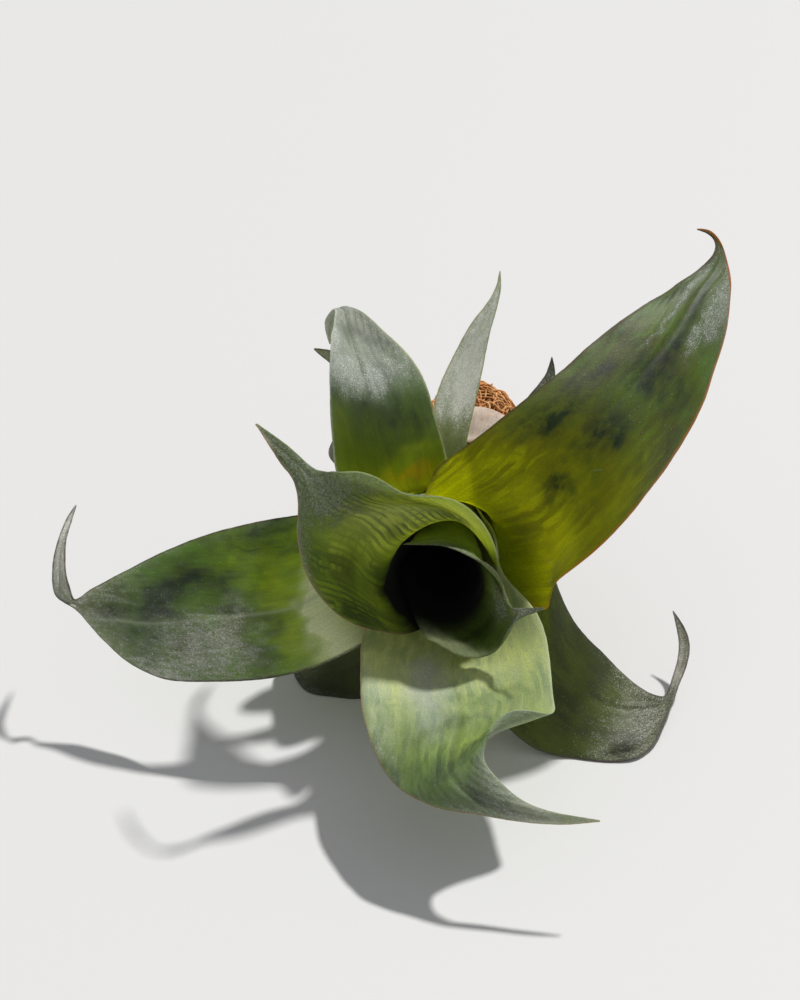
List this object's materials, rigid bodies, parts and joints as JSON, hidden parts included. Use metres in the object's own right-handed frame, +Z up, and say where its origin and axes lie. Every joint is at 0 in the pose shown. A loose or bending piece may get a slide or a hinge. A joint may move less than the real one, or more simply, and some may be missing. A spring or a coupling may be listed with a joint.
{
  "type": "tank bromeliad plant",
  "caption": "Young tank bromeliad lying on its side with its root ball: broad recurved leaves whose sheaths clasp a short stem and roll into a deep funnel.",
  "frame": {"origin": "at the level the plant rests on, under the middle of its bounding box", "axes": "+Z up with the plant lying on its side as in the picture; +Y from the funnel's mouth back to the root ball, +X to the viewer's right when looking into the funnel"},
  "size_m": [0.2046, 0.1727, 0.1151],
  "materials": {
    "leaf_young": "satin leaf, yellow-green netted with darker green, pale specks towards the tip",
    "leaf_green": "satin leaf, green with dark blue-green blotches, thin red-brown margin",
    "leaf_dark": "satin leaf, dark olive with a fine silver scurf",
    "leaf_silver": "satin leaf under a silvery scurf",
    "dry_sheath": "thin dry papery skin, beige with brown veins",
    "stem_wood": "pale fleshy stem with leaf scars",
    "root_fibre": "matted brown root fibre and coir",
    "root_wire": "wiry dark brown root"
  },
  "bodies": {
    "root": {"heart_leaf": "leaf_young", "funnel_leaf": "leaf_young", "front_leaf": "leaf_young", "upper_right_leaf": "leaf_green", "left_leaf": "leaf_green", "lower_right_leaf": "leaf_dark", "upper_left_leaf": "leaf_green", "lower_left_leaf": "leaf_dark", "right_hidden_leaf": "leaf_dark", "back_left_leaf": "leaf_dark", "under_leaf": "leaf_dark", "silver_leaf": "leaf_silver", "back_under_leaf": "leaf_dark", "back_right_leaf": "leaf_dark", "small_tip_leaf": "leaf_dark", "papery_sheath": "dry_sheath", "old_sheath_left": "dry_sheath", "old_sheath_right": "dry_sheath", "dry_leaf": "dry_sheath", "stem": "stem_wood", "root_ball": "root_fibre", "root_1": "root_wire", "root_2": "root_wire", "root_3": "root_wire", "root_4": "root_wire"}
  },
  "joints": []
}
